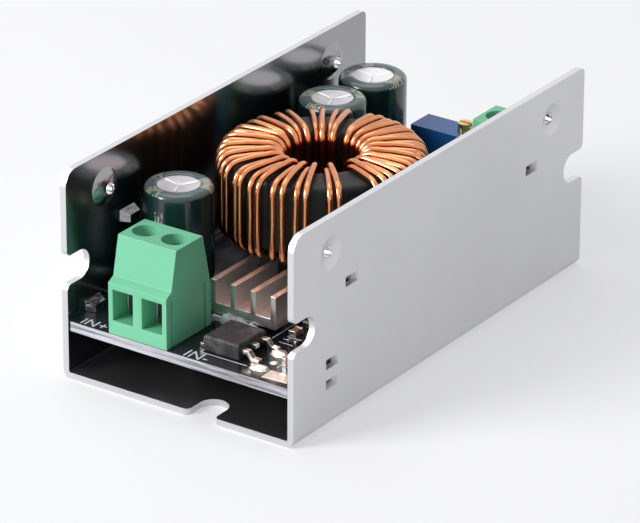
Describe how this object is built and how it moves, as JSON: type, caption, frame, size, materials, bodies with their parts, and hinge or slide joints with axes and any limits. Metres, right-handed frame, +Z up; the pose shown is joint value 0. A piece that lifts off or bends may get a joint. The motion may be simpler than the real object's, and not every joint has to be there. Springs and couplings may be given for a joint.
{
  "type": "buck converter module",
  "caption": "Step-down power converter board in a folded aluminium channel, with screw terminals, ring choke, can capacitors, heat sink and trimmer.",
  "frame": {"origin": "middle of the channel's underside", "axes": "+Y along the channel from the input end to the output end, +Z up out of the channel's open side, +X towards the right wall seen from the input end"},
  "size_m": [0.04, 0.075, 0.032],
  "materials": {
    "sheet_aluminium": "satin",
    "board_mask": "gloss",
    "terminal_green": "satin",
    "plated_steel": "satin",
    "tinned_copper": "satin",
    "can_aluminium": "satin",
    "sleeve_green": "gloss",
    "bung_rubber": "matt",
    "powder_core": "satin coating",
    "copper_wire": "varnished",
    "sink_aluminium": "brushed",
    "white_adhesive": "matt",
    "moulding_black": "matt",
    "trimmer_blue": "satin",
    "brass": "satin",
    "ceramic_brown": "satin",
    "solder": "gloss",
    "pad_grey": "matt"
  },
  "bodies": {
    "module": {"amplifier_chip": "moulding_black", "amplifier_chip_leads": "tinned_copper", "back_capacitor_bung": "bung_rubber", "back_capacitor_can": "can_aluminium", "back_capacitor_leads": "tinned_copper", "back_capacitor_sleeve": "sleeve_green", "channel": "sheet_aluminium", "chip_capacitors": "ceramic_brown", "chip_part_ends": "tinned_copper", "chip_resistors": "moulding_black", "choke_core": "powder_core", "choke_winding": "copper_wire", "circuit_board": "board_mask", "controller_chip": "moulding_black", "controller_chip_leads": "tinned_copper", "current_shunt": "moulding_black", "front_capacitor_bung": "bung_rubber", "front_capacitor_can": "can_aluminium", "front_capacitor_leads": "tinned_copper", "front_capacitor_sleeve": "sleeve_green", "gap_pad": "pad_grey", "heat_sink": "sink_aluminium", "input_contact_strips": "tinned_copper", "input_terminal_housing": "terminal_green", "middle_capacitor_bung": "bung_rubber", "middle_capacitor_can": "can_aluminium", "middle_capacitor_leads": "tinned_copper", "middle_capacitor_sleeve": "sleeve_green", "output_contact_strips": "tinned_copper", "output_terminal_housing": "terminal_green", "power_transistors": "moulding_black", "rectifier_body": "moulding_black", "rectifier_leads": "tinned_copper", "solder_joints": "solder", "thermal_adhesive": "white_adhesive", "trimmer_body": "trimmer_blue", "trimmer_pins": "tinned_copper"},
    "input_left_clamp_screw": {"input_left_clamp_screw": "plated_steel"},
    "input_left_clamp_cage": {"input_left_clamp_cage": "plated_steel"},
    "input_right_clamp_screw": {"input_right_clamp_screw": "plated_steel"},
    "input_right_clamp_cage": {"input_right_clamp_cage": "plated_steel"},
    "output_left_clamp_screw": {"output_left_clamp_screw": "plated_steel"},
    "output_left_clamp_cage": {"output_left_clamp_cage": "plated_steel"},
    "output_right_clamp_screw": {"output_right_clamp_screw": "plated_steel"},
    "output_right_clamp_cage": {"output_right_clamp_cage": "plated_steel"},
    "trimmer_screw": {"trimmer_screw": "brass"}
  },
  "joints": [
    {"name": "input_left_screw_turn", "type": "hinge", "parent": "module", "child": "input_left_clamp_screw", "pos_m": [-0.00946, -0.0316, 0.0195], "axis": [0, 0, -1], "range_deg": [0, 2304]},
    {"name": "input_left_cage_lift", "type": "slide", "parent": "module", "child": "input_left_clamp_cage", "axis": [0, 0, 1], "range_m": [0, 0.0032]},
    {"name": "input_right_screw_turn", "type": "hinge", "parent": "module", "child": "input_right_clamp_screw", "pos_m": [-0.00438, -0.0316, 0.0195], "axis": [0, 0, -1], "range_deg": [0, 2304]},
    {"name": "input_right_cage_lift", "type": "slide", "parent": "module", "child": "input_right_clamp_cage", "axis": [0, 0, 1], "range_m": [0, 0.0032]},
    {"name": "output_left_screw_turn", "type": "hinge", "parent": "module", "child": "output_left_clamp_screw", "pos_m": [0.00893, 0.0316, 0.0195], "axis": [0, 0, -1], "range_deg": [0, 2304]},
    {"name": "output_left_cage_lift", "type": "slide", "parent": "module", "child": "output_left_clamp_cage", "axis": [0, 0, 1], "range_m": [0, 0.0032]},
    {"name": "output_right_screw_turn", "type": "hinge", "parent": "module", "child": "output_right_clamp_screw", "pos_m": [0.01401, 0.0316, 0.0195], "axis": [0, 0, -1], "range_deg": [0, 2304]},
    {"name": "output_right_cage_lift", "type": "slide", "parent": "module", "child": "output_right_clamp_cage", "axis": [0, 0, 1], "range_m": [0, 0.0032]},
    {"name": "trimmer_turn", "type": "hinge", "parent": "module", "child": "trimmer_screw", "pos_m": [0.00233, 0.03263, 0.0195], "axis": [0, 0, 1], "range_deg": [-4500, 4500]}
  ],
  "couplings": [
    {"joint": "input_left_screw_turn", "follows": "input_left_cage_lift", "rad_per_m": 12565},
    {"joint": "input_right_screw_turn", "follows": "input_right_cage_lift", "rad_per_m": 12565},
    {"joint": "output_left_screw_turn", "follows": "output_left_cage_lift", "rad_per_m": 12565},
    {"joint": "output_right_screw_turn", "follows": "output_right_cage_lift", "rad_per_m": 12565}
  ]
}
